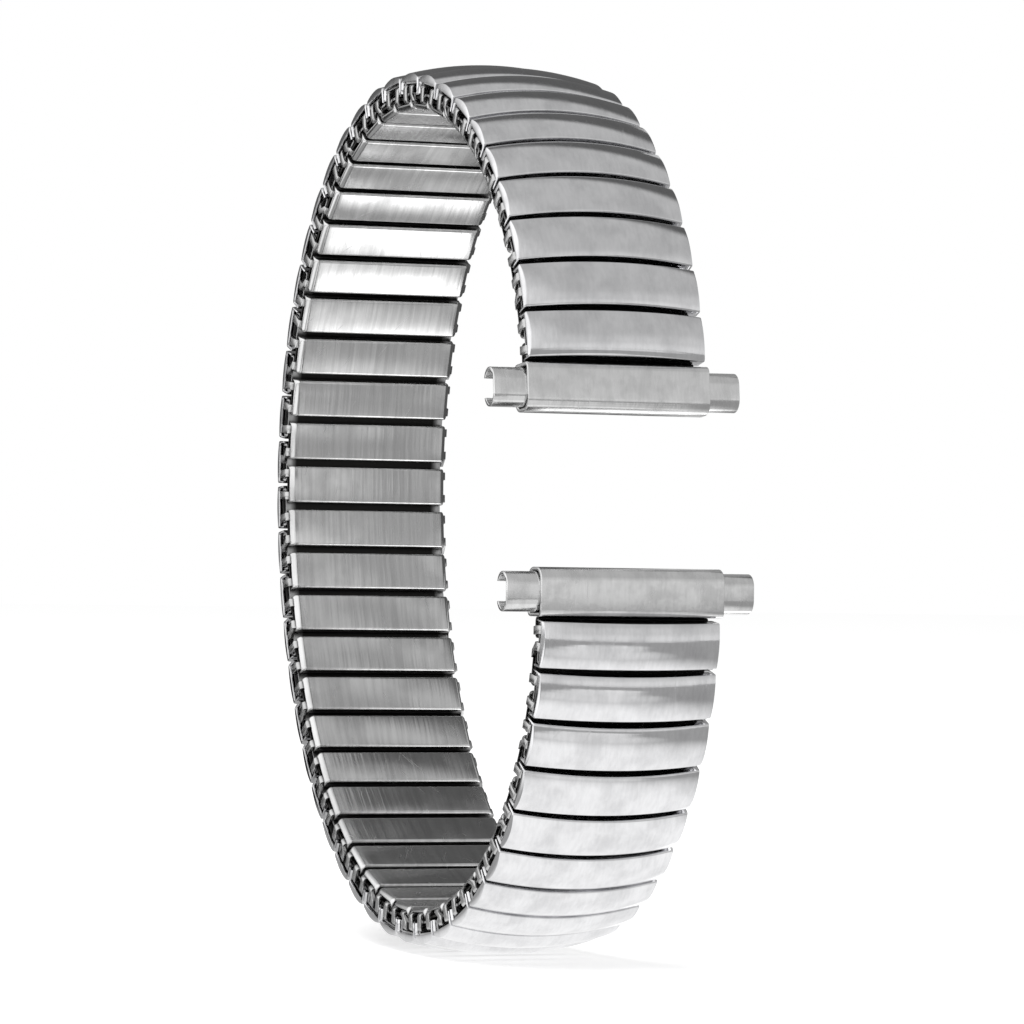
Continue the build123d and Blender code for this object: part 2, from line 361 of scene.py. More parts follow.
def build_rolling_grain():
    tree, given, result = new_shader_group(
        "rolling_grain",
        [("Across", 9000.0), ("Along", 300.0), ("Depth", 0.002 * mm)],
        [("Streak", "NodeSocketFloat"), ("Normal", "NodeSocketVector")])
    fine = stretched_noise(tree, given.outputs["Across"], given.outputs["Along"], 3.0)
    streak = remapped(tree, fine, streak_low, streak_high)
    bump = tree.nodes.new("ShaderNodeBump")
    tree.links.new(streak, bump.inputs["Height"])
    tree.links.new(given.outputs["Depth"], bump.inputs["Distance"])
    tree.links.new(streak, result.inputs["Streak"])
    tree.links.new(bump.outputs["Normal"], result.inputs["Normal"])
    return tree


def build_handling_marks():
    tree, given, result = new_shader_group(
        "handling_marks",
        [("Blotch size", 260.0), ("Scratch threshold", 0.66)],
        [("Smudge", "NodeSocketFloat"), ("Scratch", "NodeSocketFloat")])
    blotch = stretched_noise(tree, given.outputs["Blotch size"], given.outputs["Blotch size"], 4.0)
    tree.links.new(remapped(tree, blotch, blotch_low, blotch_high), result.inputs["Smudge"])
    strokes = []
    for turn in scratch_turns:
        noise = stretched_noise(tree, scratch_across, scratch_along, 1.0, turn)
        strokes.append(remapped(tree, noise, given.outputs["Scratch threshold"], scratch_full))
    tree.links.new(largest(tree, *strokes), result.inputs["Scratch"])
    return tree


rolling_grain = build_rolling_grain()
handling_marks = build_handling_marks()


def placed_group(tree, group, values):
    node = tree.nodes.new("ShaderNodeGroup")
    node.node_tree = group
    for label, value in values.items():
        node.inputs[label].default_value = value
    return node


def mixed_colour(tree, factor, clean, marked):
    mix = tree.nodes.new("ShaderNodeMix")
    mix.data_type = "RGBA"
    factor_socket, clean_socket, marked_socket = mix.inputs[0], mix.inputs[6], mix.inputs[7]
    if isinstance(clean, tuple):
        clean_socket.default_value = (*clean, 1)
    else:
        tree.links.new(clean, clean_socket)
    marked_socket.default_value = (*marked, 1)
    tree.links.new(factor, factor_socket)
    return mix.outputs[2]


def weighted_sum(tree, first, first_weight, second, second_weight):
    total = None
    for value, weight in ((first, first_weight), (second, second_weight)):
        scaled = tree.nodes.new("ShaderNodeMath")
        scaled.operation = "MULTIPLY_ADD"
        tree.links.new(value, scaled.inputs[0])
        scaled.inputs[1].default_value = weight
        if total is not None:
            tree.links.new(total, scaled.inputs[2])
        else:
            scaled.inputs[2].default_value = 0.0
        total = scaled.outputs["Value"]
    return total


# A steel's material from its two colours, its range of roughness and its marks. Where shade is
# painted, the metal is nearly black and dull.
painted_shade_colour = (0.035, 0.034, 0.033)
painted_shade_roughness = 0.5
smudge_dulling, scratch_dulling = 0.6, 0.8
scratch_depth = -0.25


def steel(name, clean, marked, smooth, rough, grain, marks, marks_depth, streaked=0.3):
    material = bpy.data.materials.new(name)
    material.use_nodes = True
    tree = material.node_tree
    shader = tree.nodes["Principled BSDF"]
    shader.inputs["Metallic"].default_value = 1.0
    streaks = placed_group(tree, rolling_grain, grain)
    wear = placed_group(tree, handling_marks, marks)
    # This attribute paints shade on the metal: where it is 1, the colour goes nearly black and the
    # finish dull.
    painted_shade = tree.nodes.new("ShaderNodeAttribute")
    painted_shade.attribute_name = "painted_shade"
    smudge, scratch = wear.outputs["Smudge"], wear.outputs["Scratch"]
    tone = weighted_sum(tree, smudge, 1 - streaked, streaks.outputs["Streak"], streaked)
    worn = mixed_colour(tree, tone, clean, marked)
    colour = mixed_colour(tree, painted_shade.outputs["Fac"], worn, painted_shade_colour)
    tree.links.new(colour, shader.inputs["Base Color"])
    dullness = weighted_sum(tree, smudge, smudge_dulling, scratch, scratch_dulling)
    finish = remapped(tree, dullness, 0.0, 1.0, smooth, rough)
    finish = remapped(tree, painted_shade.outputs["Fac"], 0.0, 1.0, finish, painted_shade_roughness)
    tree.links.new(finish, shader.inputs["Roughness"])
    bump = tree.nodes.new("ShaderNodeBump")
    bump.inputs["Distance"].default_value = marks_depth
    uneven = weighted_sum(tree, smudge, 1.0, scratch, scratch_depth)
    tree.links.new(uneven, bump.inputs["Height"])
    tree.links.new(streaks.outputs["Normal"], bump.inputs["Normal"])
    tree.links.new(bump.outputs["Normal"], shader.inputs["Normal"])
    return material


# Outer shell: a cap of polished stainless sheet, crowned along its length and arched across it.
# Its long edges are folded down over the upper sleeve, and its ends slope down steeply.
shell_setback = 0.25 * mm
shell_length = end_sleeve_length - 2 * shell_setback
shell_width = pitch - outer_link_gap
shell_sheet = 0.2 * mm
shell_edge_height = 1.3 * mm
shell_crown_rise = 1.05 * mm
shell_arch_rise = 0.4 * mm
shell_bevel_start = 1.05 * mm
shell_bevel_slope = math.tan(math.radians(80.0))
shell_fold_radius = 0.2 * mm
shell_corner_radius = 0.1 * mm
shell_softening = 0.035 * mm
shell_steps = 20
shell_crowding = 1.5
shell_top_steps = 12
shell_fold_steps = 5
crease_rounds = 6

shell_side = shell_width / 2
shell_crown_radius = ((shell_length / 2) ** 2 + shell_crown_rise ** 2) / (2 * shell_crown_rise)
shell_arch_radius = (shell_side ** 2 + shell_arch_rise ** 2) / (2 * shell_arch_rise)


def shell_crown(x, y):
    arch = math.sqrt(shell_arch_radius ** 2 - y ** 2) - (shell_arch_radius - shell_arch_rise)
    hub = shell_edge_height + shell_crown_rise - shell_crown_radius
    return hub + math.sqrt((shell_crown_radius + arch) ** 2 - x ** 2)


# Distance from the middle at which the crown meets the sloping end
def shell_crease(y):
    crease = shell_length / 2
    for _ in range(crease_rounds):
        crease = shell_length / 2 - (shell_crown(crease, y) - shell_bevel_start) / shell_bevel_slope
    return crease


# Point of the top from its distance to the side and its station: 1 at the crease, 2 at the end
def shell_point(station, y):
    crease = shell_crease(y)
    reach = abs(station)
    if reach <= 1:
        x = crease * reach
        return math.copysign(x, station), shell_crown(x, y)
    x = crease + (shell_length / 2 - crease) * (reach - 1)
    return math.copysign(x, station), shell_bevel_start + (shell_length / 2 - x) * shell_bevel_slope


def shell_ring(station):
    edge_x = shell_point(station, shell_side)[0]
    side = shell_side - corner_inset(edge_x, shell_length, shell_corner_radius)
    fold_middle = side - shell_fold_radius
    lean = math.asin(fold_middle / shell_arch_radius)
    flat_side = fold_middle + shell_fold_radius * math.sin(lean)
    fold_x, fold_top = shell_point(station, flat_side)
    fold_height = fold_top - shell_fold_radius * math.cos(lean)
    half = [(fold_x, side, 0.0), (fold_x, side, fold_height / 2)]
    for i in range(shell_fold_steps + 1):
        angle = math.pi / 2 - (math.pi / 2 - lean) * i / shell_fold_steps
        half.append((fold_x, fold_middle + shell_fold_radius * math.sin(angle),
                     fold_height + shell_fold_radius * math.cos(angle)))
    top = []
    for i in range(1, shell_top_steps):
        y = flat_side * (1 - 2 * i / shell_top_steps)
        x, z = shell_point(station, y)
        top.append((x, y, z))
    return half + top + [(x, -y, z) for x, y, z in reversed(half)]


shell_stations = [1 - (1 - i / shell_steps) ** shell_crowding for i in range(shell_steps + 1)] + [2.0]
shell_stations = [-station for station in reversed(shell_stations)] + shell_stations[1:]
shell_template = template_from_rings(
    "shell_template",
    [shell_ring(station) for station in shell_stations],
    closed_rings=False)
thicken(shell_template, shell_sheet)
soften(shell_template, shell_softening, segments=2, angle=38.0)
finish_template(shell_template)

polished_steel = steel(
    "polished_stainless", clean=(0.8, 0.8, 0.81), marked=(0.64, 0.64, 0.65), smooth=0.08, rough=0.24,
    grain={"Across": 3200.0, "Along": 900.0, "Depth": 0.0012 * mm},
    marks={"Blotch size": 420.0, "Scratch threshold": 0.7}, marks_depth=0.0025 * mm)
for link in range(1, link_count + 1):
    shell = place_on_link(
        f"link_{link:02d}_shell", body_of_link(link), link, polished_steel,
        outer_piece=shell_template)
    replace_link_node(shell, link, "link_01_outer_shell")

# Upper sleeve: a flat tube folded from bright sheet that sits in the shell and holds the upper
# legs of the bows. Only its open ends are left bright; inward it has painted shade, nearly black,
# seen on its floor in the gaps between the inner links. Both rows of sleeves end just inside the bows.
sleeve_sheet = 0.18 * mm
sleeve_corner = 0.26 * mm
upper_sleeve_floor = -0.1 * mm
upper_sleeve_height = 1.16 * mm
bow_strip = 0.28 * mm
bow_end_clearance = 0.03 * mm
bow_cover = 0.02 * mm
web_outer_x = shell_length / 2 - bow_cover
sleeve_length = 2 * (web_outer_x - bow_strip - bow_end_clearance)
upper_sleeve_width = shell_width - 2 * (shell_sheet + fit)
upper_sleeve_top = upper_sleeve_floor + upper_sleeve_height
sleeve_corner_steps = 5
sleeve_stations = 33
sleeve_crowding = 1.5
unshaded_end = 0.35 * mm
shade_fade = 0.5 * mm


# Stations along X from end to end, crowded towards the ends above a crowding of 1
def stations(length, count, crowding=1.0):
    places_on_x = []
    for i in range(count):
        share = 2 * i / (count - 1) - 1
        reach = 1 - (1 - abs(share)) ** crowding
        places_on_x.append(math.copysign(reach, share) * length / 2)
    return places_on_x


def step_between(value, low_edge, high_edge):
    share = min(1.0, max(0.0, (value - low_edge) / (high_edge - low_edge)))
    return share * share * (3 - 2 * share)


# Painted shade inside the upper sleeve: none near its open ends, then darker further in.
def painted_shade_of_upper_sleeve(point):
    from_end = sleeve_length / 2 - abs(point.x)
    return step_between(from_end, unshaded_end, unshaded_end + shade_fade)


# Ring of a rounded oblong, given each corner's radius and an inset of its lower half
def oblong_ring(x, half_width, floor, top, low_corner, high_corner, low_inset=0.0):
    corners = (
        (half_width, top, high_corner, 0.0),
        (-half_width, top, high_corner, 0.5),
        (-half_width, floor, low_corner, 1.0),
        (half_width, floor, low_corner, 1.5),
    )
    ring = []
    for side, height, radius, start in corners:
        centre_y = side - math.copysign(radius, side)
        centre_z = height - math.copysign(radius, height - (floor + top) / 2)
        for i in range(sleeve_corner_steps + 1):
            angle = math.pi * (start + 0.5 * i / sleeve_corner_steps)
            y = centre_y + radius * math.cos(angle)
            z = centre_z + radius * math.sin(angle)
            lowness = min(1.0, max(0.0, (top - z) / (top - floor)))
            y -= math.copysign(low_inset * lowness ** 2, y)
            ring.append((x, y, z))
    return ring


upper_sleeve_template = template_from_rings(
    "upper_sleeve_template",
    [oblong_ring(x, upper_sleeve_width / 2, upper_sleeve_floor, upper_sleeve_top,
                 sleeve_corner, sleeve_corner)
     for x in stations(sleeve_length, sleeve_stations, sleeve_crowding)],
    closed_rings=True, painted_shade=painted_shade_of_upper_sleeve)
thicken(upper_sleeve_template, sleeve_sheet)
finish_template(upper_sleeve_template)

sleeve_steel = steel(
    "folded_sleeve_steel", clean=(0.6, 0.6, 0.6), marked=(0.5, 0.5, 0.5), smooth=0.28, rough=0.42,
    grain={"Across": 9000.0, "Along": 300.0, "Depth": 0.002 * mm},
    marks={"Blotch size": 500.0, "Scratch threshold": 0.7}, marks_depth=0.003 * mm)
for link in range(1, link_count + 1):
    sleeve = place_on_link(
        f"link_{link:02d}_top_tube", body_of_link(link), link, sleeve_steel,
        outer_piece=upper_sleeve_template)
    replace_link_node(sleeve, link, "link_01_upper_sleeve")

# Lower sleeve: the flat tube that lies against the wrist, folded from sheet and brushed along the
# band. Its floor curls up at both ends, with the corners taken off, so that it doesn't catch. Its
# sides have painted shade, nearly black, above their lower edges, where they stand between the links.
lower_sleeve_height = 1.08 * mm
lower_sleeve_width = pitch - inner_link_gap
lower_end_corner = 0.45 * mm
lower_side_corner = 0.25 * mm
lower_sleeve_top = upper_sleeve_floor - row_gap
lower_sleeve_floor = lower_sleeve_top - lower_sleeve_height
lower_curl_steps = 8
lower_flat_stations = 21
unshaded_side = 0.3 * mm
side_fade = 0.25 * mm


def lower_floor(x):
    return lower_sleeve_floor + corner_inset(x, sleeve_length, lower_end_corner)


# Painted shade on the lower sleeve: none near its floor, then darker up its sides.
def painted_shade_of_lower_sleeve(point):
    return step_between(point.z - lower_floor(point.x), unshaded_side, unshaded_side + side_fade)


def lower_sleeve_rings(start, finish):
    middle = (start + finish) / 2
    curl_start = sleeve_length / 2 - lower_end_corner
    curl = [curl_start + lower_end_corner * math.sin(math.pi / 2 * i / lower_curl_steps)
            for i in range(1, lower_curl_steps + 1)]
    flat = stations(2 * curl_start, lower_flat_stations)
    rings = []
    for x in [-x for x in reversed(curl)] + flat + curl:
        ring = oblong_ring(
            x, (finish - start) / 2, lower_floor(x), lower_sleeve_top, sleeve_corner, sleeve_corner,
            corner_inset(x, sleeve_length, lower_side_corner))
        rings.append([(px, py + middle, pz) for px, py, pz in ring])
    return rings


lower_sleeve_template = template_from_rings(
    "lower_sleeve_template",
    lower_sleeve_rings(-lower_sleeve_width / 2, lower_sleeve_width / 2),
    closed_rings=True, painted_shade=painted_shade_of_lower_sleeve)
thicken(lower_sleeve_template, sleeve_sheet)
finish_template(lower_sleeve_template)

brushed_steel = steel(
    "brushed_stainless", clean=(0.74, 0.74, 0.74), marked=(0.54, 0.54, 0.54), smooth=0.16, rough=0.32,
    grain={"Across": 2400.0, "Along": 90.0, "Depth": 0.004 * mm},
    marks={"Blotch size": 300.0, "Scratch threshold": 0.7}, marks_depth=0.002 * mm, streaked=0.6)
for link in range(1, link_count):
    sleeve = place_on_link(
        f"link_{link:02d}_wrist_tube", body_of_link(link), link, brushed_steel,
        inner_piece=lower_sleeve_template)
    replace_link_node(sleeve, link, "link_01_lower_sleeve")

# Leaf springs: thin strips of hard rolled steel, bowed along their length, one in each sleeve.
# They press the bows' legs flat, which is what draws the band together again.
leaf_thickness = 0.1 * mm
leaf_rise = 0.1 * mm
leaf_end_play = 1.22 * mm
leaf_length = sleeve_length - 2 * leaf_end_play
leaf_side_play = 0.1 * mm
leaf_stations = 13


def leaf_rings(width, middle_floor, middle_y=0.0):
    radius = ((leaf_length / 2) ** 2 + leaf_rise ** 2) / (2 * leaf_rise)
    rings = []
    for x in stations(leaf_length, leaf_stations):
        floor = middle_floor + radius - math.sqrt(radius ** 2 - x ** 2)
        low, high = middle_y - width / 2, middle_y + width / 2
        rings.append([
            (x, high, floor + leaf_thickness), (x, low, floor + leaf_thickness),
            (x, low, floor), (x, high, floor)])
    return rings


def leaf_width(sleeve_width):
    return sleeve_width - 2 * (sleeve_sheet + leaf_side_play)


upper_leaf_template = template_from_rings(
    "upper_leaf_template",
    leaf_rings(leaf_width(upper_sleeve_width), upper_sleeve_floor + sleeve_sheet + fit),
    closed_rings=True, closed_ends=True)
lower_leaf_template = template_from_rings(
    "lower_leaf_template",
    leaf_rings(leaf_width(lower_sleeve_width), lower_sleeve_floor + sleeve_sheet + fit),
    closed_rings=True, closed_ends=True)
for template in (upper_leaf_template, lower_leaf_template):
    finish_template(template)

spring_steel = steel(
    "rolled_spring_steel", clean=(0.44, 0.44, 0.45), marked=(0.36, 0.36, 0.36), smooth=0.3, rough=0.45,
    grain={"Across": 900.0, "Along": 6000.0, "Depth": 0.001 * mm},
    marks={"Blotch size": 700.0, "Scratch threshold": 0.68}, marks_depth=0.001 * mm)
for link in range(1, link_count + 1):
    springs = place_on_link(
        f"link_{link:02d}_springs", body_of_link(link), link, spring_steel,
        outer_piece=upper_leaf_template,
        inner_piece=lower_leaf_template if link < link_count else None)
    replace_link_node(springs, link, "link_01_leaf_springs")

# Connecting bows: U shapes bent from flat strip, one leg in an upper sleeve and one in a lower
# sleeve. Two stand at each edge of a pitch, and they are all that joins the two rows of links.
bow_width = 0.7 * mm
bow_leg_length = 3.0 * mm
bow_side_play = 0.1 * mm
upper_leg_play = 0.21 * mm
lower_leg_play = 0.12 * mm
bow_bend_radius = 0.15 * mm
bow_bend_steps = 5
bow_softening = 0.05 * mm
stretch_travel = 0.8 * mm
stretch_end_play = 0.09 * mm
upper_leg_height = upper_sleeve_top - sleeve_sheet - upper_leg_play - bow_strip / 2
lower_leg_height = lower_sleeve_top - sleeve_sheet - lower_leg_play - bow_strip / 2
lower_leg_limit = lower_sleeve_width / 2 - sleeve_sheet - bow_width / 2
upper_leg_limit = upper_sleeve_width / 2 - sleeve_sheet - bow_width / 2
lower_leg_place = lower_leg_limit - bow_side_play
upper_leg_place = pitch / 2 - (upper_leg_limit - bow_side_play)
stretch_leg_place = pitch / 2 - (upper_leg_limit - stretch_end_play) + stretch_travel


# Middle line of a bow as (x, height, share of the way to the upper leg, direction of the strip).
# The web shifts from one leg's place to the other's between the two rows of sleeves.
def bow_line():
    outermost = web_outer_x - bow_strip / 2
    leg_end = web_outer_x - bow_leg_length
    line = [(leg_end, lower_leg_height, 0.0, -math.pi / 2)]
    bends_of_bow = (
        (lower_leg_height + bow_bend_radius, -0.5, 0.0),
        (upper_leg_height - bow_bend_radius, 0.0, 1.0))
    for centre_z, start, share in bends_of_bow:
        if share:
            line.append((outermost, upper_sleeve_floor, share, 0.0))
        for i in range(bow_bend_steps + 1):
            angle = math.pi * (start + 0.5 * i / bow_bend_steps)
            x = outermost - bow_bend_radius + bow_bend_radius * math.cos(angle)
            line.append((x, centre_z + bow_bend_radius * math.sin(angle), share, angle))
    line.append((leg_end, upper_leg_height, 1.0, math.pi / 2))
    return line


def add_bow(work, side, lower_place, upper_place):
    rings = []
    for x, z, share, angle in bow_line():
        y = lower_place + (upper_place - lower_place) * share
        ring = []
        for across, through in ((1, 1), (-1, 1), (-1, -1), (1, -1)):
            ring.append(work.verts.new((
                side * (x + through * bow_strip / 2 * math.cos(angle)),
                y + across * bow_width / 2,
                z + through * bow_strip / 2 * math.sin(angle))))
        rings.append(ring)
    for first, second in zip(rings, rings[1:]):
        for i in range(4):
            j = (i + 1) % 4
            work.faces.new((first[i], first[j], second[j], second[i]))
    work.faces.new(rings[0])
    work.faces.new(list(reversed(rings[-1])))


def bow_template(name, *pairs):
    work = bmesh.new()
    for lower_place, upper_place in pairs:
        for side in (-1, 1):
            add_bow(work, side, lower_place, upper_place)
    bmesh.ops.recalc_face_normals(work, faces=work.faces)
    template = template_from_bmesh(name, work)
    soften(template, bow_softening, segments=2, angle=40.0)
    return finish_template(template, angle=30.0)


bows_behind = (-lower_leg_place, -upper_leg_place)
bows_ahead_flexing = (lower_leg_place, upper_leg_place)
bows_ahead_stretching = (lower_leg_place, stretch_leg_place)
flexing_bows = bow_template("flexing_bows", bows_behind, bows_ahead_flexing)
stretching_bows = bow_template("stretching_bows", bows_behind, bows_ahead_stretching)
last_bows = bow_template("last_bows", bows_behind)
first_bows = bow_template("first_bows", bows_ahead_flexing)

bow_steel = steel(
    "bent_strip_steel", clean=(0.58, 0.58, 0.58), marked=(0.46, 0.46, 0.46), smooth=0.22, rough=0.38,
    grain={"Across": 3000.0, "Along": 3000.0, "Depth": 0.001 * mm},
    marks={"Blotch size": 900.0, "Scratch threshold": 0.68}, marks_depth=0.002 * mm)
for link in range(1, link_count + 1):
    bows = last_bows if link == link_count else (flexing_bows if link % 2 == 0 else stretching_bows)
    placed = place_on_link(
        f"link_{link:02d}_bows", body_of_link(link), link, bow_steel, inner_piece=bows)
    replace_link_node(placed, link, "link_01_connecting_bows")
placed = place_on_link(
    "upper_end_bows", "upper_end", 0, bow_steel, inner_piece=first_bows)
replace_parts(placed, "upper_end_connecting_bows")

# End sleeves: satin tubes of thicker sheet, one at each end of the band, with a half-round free
# edge. A half-length inner tube is fixed to each and takes the first or the last bows.
end_link_corner = 0.55 * mm
end_free_corner = 1.05 * mm
end_corner_steps = 8
end_sleeve_stations = 9
end_rim_softening = 0.05 * mm


def end_sleeve_ring(x, turned):
    middle = -end_setback - end_sleeve_width / 2
    half_width = end_sleeve_width / 2
    ring = []
    corners = (
        (half_width, 1, end_link_corner, 0.0),
        (-half_width, 1, end_free_corner, 0.5),
        (-half_width, -1, end_free_corner, 1.0),
        (half_width, -1, end_link_corner, 1.5),
    )
    for side, level, radius, start in corners:
        centre_y = side - math.copysign(radius, side)
        centre_z = end_sleeve_middle + level * (end_sleeve_depth / 2 - radius)
        for i in range(end_corner_steps + 1):
            angle = math.pi * (start + 0.5 * i / end_corner_steps)
            y = middle + centre_y + radius * math.cos(angle)
            ring.append((x, y, centre_z + radius * math.sin(angle)))
    if turned:
        ring = [(px, -py, pz) for px, py, pz in reversed(ring)]
    return ring


satin_steel = steel(
    "satin_stainless", clean=(0.76, 0.76, 0.76), marked=(0.62, 0.62, 0.62), smooth=0.16, rough=0.3,
    grain={"Across": 5000.0, "Along": 900.0, "Depth": 0.0015 * mm},
    marks={"Blotch size": 700.0, "Scratch threshold": 0.68}, marks_depth=0.004 * mm)
for end, link, turned in (("upper", 0, False), ("lower", link_count, True)):
    body = end + "_end"
    tube_template = template_from_rings(
        end + "_sleeve_template",
        [end_sleeve_ring(x, turned) for x in stations(end_sleeve_length, end_sleeve_stations)],
        closed_rings=True)
    thicken(tube_template, end_sleeve_sheet)
    soften(tube_template, end_rim_softening, segments=3, angle=60.0)
    finish_template(tube_template)
    tube = place_on_link(
        end + "_sleeve", body, link, satin_steel, inner_piece=tube_template)
    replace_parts(tube, end + "_end_sleeve")

    start, finish = -end_setback, lower_sleeve_width / 2
    rings = lower_sleeve_rings(start, finish)
    leaf = leaf_rings(
        leaf_width(finish - start), lower_sleeve_floor + sleeve_sheet + fit, (start + finish) / 2)
    if turned:
        rings = [[(px, -py, pz) for px, py, pz in reversed(ring)] for ring in rings]
        leaf = [[(px, -py, pz) for px, py, pz in reversed(ring)] for ring in leaf]
    # The half tube has the same painted shade up its sides as the lower sleeve.
    half_template = template_from_rings(
        end + "_half_template", rings, closed_rings=True, painted_shade=painted_shade_of_lower_sleeve)
    thicken(half_template, sleeve_sheet)
    finish_template(half_template)
    half = place_on_link(
        end + "_half_tube", body, link, brushed_steel, inner_piece=half_template)
    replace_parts(half, end + "_end_inner_sleeve")
    leaf_template = template_from_rings(
        end + "_leaf_template", leaf, closed_rings=True, closed_ends=True)
    finish_template(leaf_template)
    spring = place_on_link(
        end + "_spring", body, link, spring_steel, inner_piece=leaf_template)
    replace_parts(spring, end + "_end_inner_sleeve")
    for template in (tube_template, half_template, leaf_template):
        bpy.data.objects.remove(template)

for template in (shell_template, upper_sleeve_template, lower_sleeve_template, upper_leaf_template,
                 lower_leaf_template, flexing_bows, stretching_bows, last_bows, first_bows):
    bpy.data.objects.remove(template)

# Sliding ends: channels of satin sheet with both edges curled, open along the back. They
# telescope in the end sleeves, and their curled edge takes the watch's spring bar.
slide_merge = 0.002 * mm
slide_flat_within = math.radians(1.0)
slide_softening = 0.04 * mm
for end in ("upper", "lower"):
    for side in ("left", "right"):
        node = f"{end}_sliding_end_{side}"
        work = bmesh.new()
        work.from_mesh(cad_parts[node].data)
        bmesh.ops.remove_doubles(work, verts=work.verts, dist=slide_merge)
        bmesh.ops.dissolve_limit(
            work, angle_limit=slide_flat_within, verts=work.verts, edges=work.edges)
        slide = template_from_bmesh(f"{end}_slide_{side}", work)
        soften(slide, slide_softening, segments=2, angle=40.0)
        finish_template(slide)
        slide.data.materials.clear()
        slide.data.materials.append(satin_steel)
        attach(slide, f"{end}_slide_{side}")
        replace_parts(slide, node)

# Studio: a pale floor, a soft tent of light round the band and a grey card close at its right. The
# tent is bright at the left, grey in front and overhead, and dark at the right and behind, as the
# curved reflections show.
low, high = cad_box
floor_reach = 1.5
floor_height = low[2] - 0.05 * mm
floor_tone = 0.85
floor_roughness = 0.9
floor_glow = 0.5

# Patches of brightness on the floor, which only reflections see, in millimetres: the patch's place,
# the distances where it starts and ends to fade, and its brightness inside and outside
floor_patches = (
    ((28, 24), 6, 30, 2.5, 0.0),
    ((33, 78), 12, 40, 0.74, 0.0),
    ((8, -60), 16, 55, 0.86, 0.0),
    ((16, -92), 20, 42, 0.86, 0.0),
    ((30, -125), 25, 45, 0.9, 0.0),
    ((300, -750), 300, 420, 0.8, 0.0),
    ((-300, 0), 220, 260, 1.3, 0.0),
    ((0, -4), 17, 55, 1.12, 0.4),
)
dark_patch_behind = ((20, 460), 300, 330, 0.09, 1.0)


def floor_patch(tree, place, near, far, inside, outside):
    where = tree.nodes.new("ShaderNodeTexCoord")
    apart = tree.nodes.new("ShaderNodeVectorMath")
    apart.operation = "DISTANCE"
    tree.links.new(where.outputs["Object"], apart.inputs[0])
    apart.inputs[1].default_value = (place[0] * mm, place[1] * mm, floor_height)
    return remapped(tree, apart.outputs["Value"], near * mm, far * mm, inside, outside)


floor_mesh = bpy.data.meshes.new("floor")
floor_mesh.from_pydata(
    [(-floor_reach, -floor_reach, floor_height), (floor_reach, -floor_reach, floor_height),
     (floor_reach, floor_reach, floor_height), (-floor_reach, floor_reach, floor_height)],
    [], [(0, 1, 2, 3)])
floor = bpy.data.objects.new("floor", floor_mesh)
bpy.context.scene.collection.objects.link(floor)
floor_white = bpy.data.materials.new("floor_white")
floor_white.use_nodes = True
tree = floor_white.node_tree
shader = tree.nodes["Principled BSDF"]
shader.inputs["Base Color"].default_value = (floor_tone, floor_tone, floor_tone, 1)
shader.inputs["Roughness"].default_value = floor_roughness
shader.inputs["Specular IOR Level"].default_value = 0.0
glow = tree.nodes.new("ShaderNodeEmission")
glow.inputs["Strength"].default_value = floor_glow
add = tree.nodes.new("ShaderNodeAddShader")
tree.links.new(shader.outputs["BSDF"], add.inputs[0])
tree.links.new(glow.outputs["Emission"], add.inputs[1])
path = tree.nodes.new("ShaderNodeLightPath")
for_camera = tree.nodes.new("ShaderNodeMixShader")
tree.links.new(path.outputs["Is Camera Ray"], for_camera.inputs["Fac"])
tree.links.new(shader.outputs["BSDF"], for_camera.inputs[1])
tree.links.new(add.outputs["Shader"], for_camera.inputs[2])
mirrored = tree.nodes.new("ShaderNodeEmission")
lit = largest(tree, *[floor_patch(tree, *patch) for patch in floor_patches])
behind = floor_patch(tree, *dark_patch_behind)
dimmed = tree.nodes.new("ShaderNodeMath")
dimmed.operation = "MULTIPLY"
tree.links.new(lit, dimmed.inputs[0])
tree.links.new(behind, dimmed.inputs[1])
tree.links.new(dimmed.outputs["Value"], mirrored.inputs["Strength"])
for_mirror = tree.nodes.new("ShaderNodeMixShader")
tree.links.new(path.outputs["Is Glossy Ray"], for_mirror.inputs["Fac"])
tree.links.new(for_camera.outputs["Shader"], for_mirror.inputs[1])
tree.links.new(mirrored.outputs["Emission"], for_mirror.inputs[2])
tree.links.new(for_mirror.outputs["Shader"], tree.nodes["Material Output"].inputs["Surface"])
floor.data.materials.append(floor_white)

# The world: white where the camera and reflections see it, dimmer as light on the pieces
world_seen = 1.0
world_lighting = 0.55
world = bpy.data.worlds.new("studio")
bpy.context.scene.world = world
world.use_nodes = True
tree = world.node_tree
white = tree.nodes["Background"]
white.inputs["Color"].default_value = (1, 1, 1, 1)
white.inputs["Strength"].default_value = world_seen
dim = tree.nodes.new("ShaderNodeBackground")
dim.inputs["Color"].default_value = (1, 1, 1, 1)
dim.inputs["Strength"].default_value = world_lighting
choose = tree.nodes.new("ShaderNodeMixShader")
path = tree.nodes.new("ShaderNodeLightPath")
mirrored_or_seen = largest(
    tree, path.outputs["Is Camera Ray"], path.outputs["Is Glossy Ray"],
    path.outputs["Is Transmission Ray"])
tree.links.new(mirrored_or_seen, choose.inputs["Fac"])
tree.links.new(dim.outputs["Background"], choose.inputs[1])
tree.links.new(white.outputs["Background"], choose.inputs[2])
tree.links.new(choose.outputs["Shader"], tree.nodes["World Output"].inputs["Surface"])

tent_radius = 1.2
tent_columns = 72
tent_rows = 36
tent_lowest = -2.0
tent_overhead = 0.57
tent_left, tent_far_left = 1.1, 1.35
tent_low_right, tent_lowest_right = 0.7, 0.84
tent_behind = 0.13


def moved_towards(bright, level, share):
    return bright + (level - bright) * share


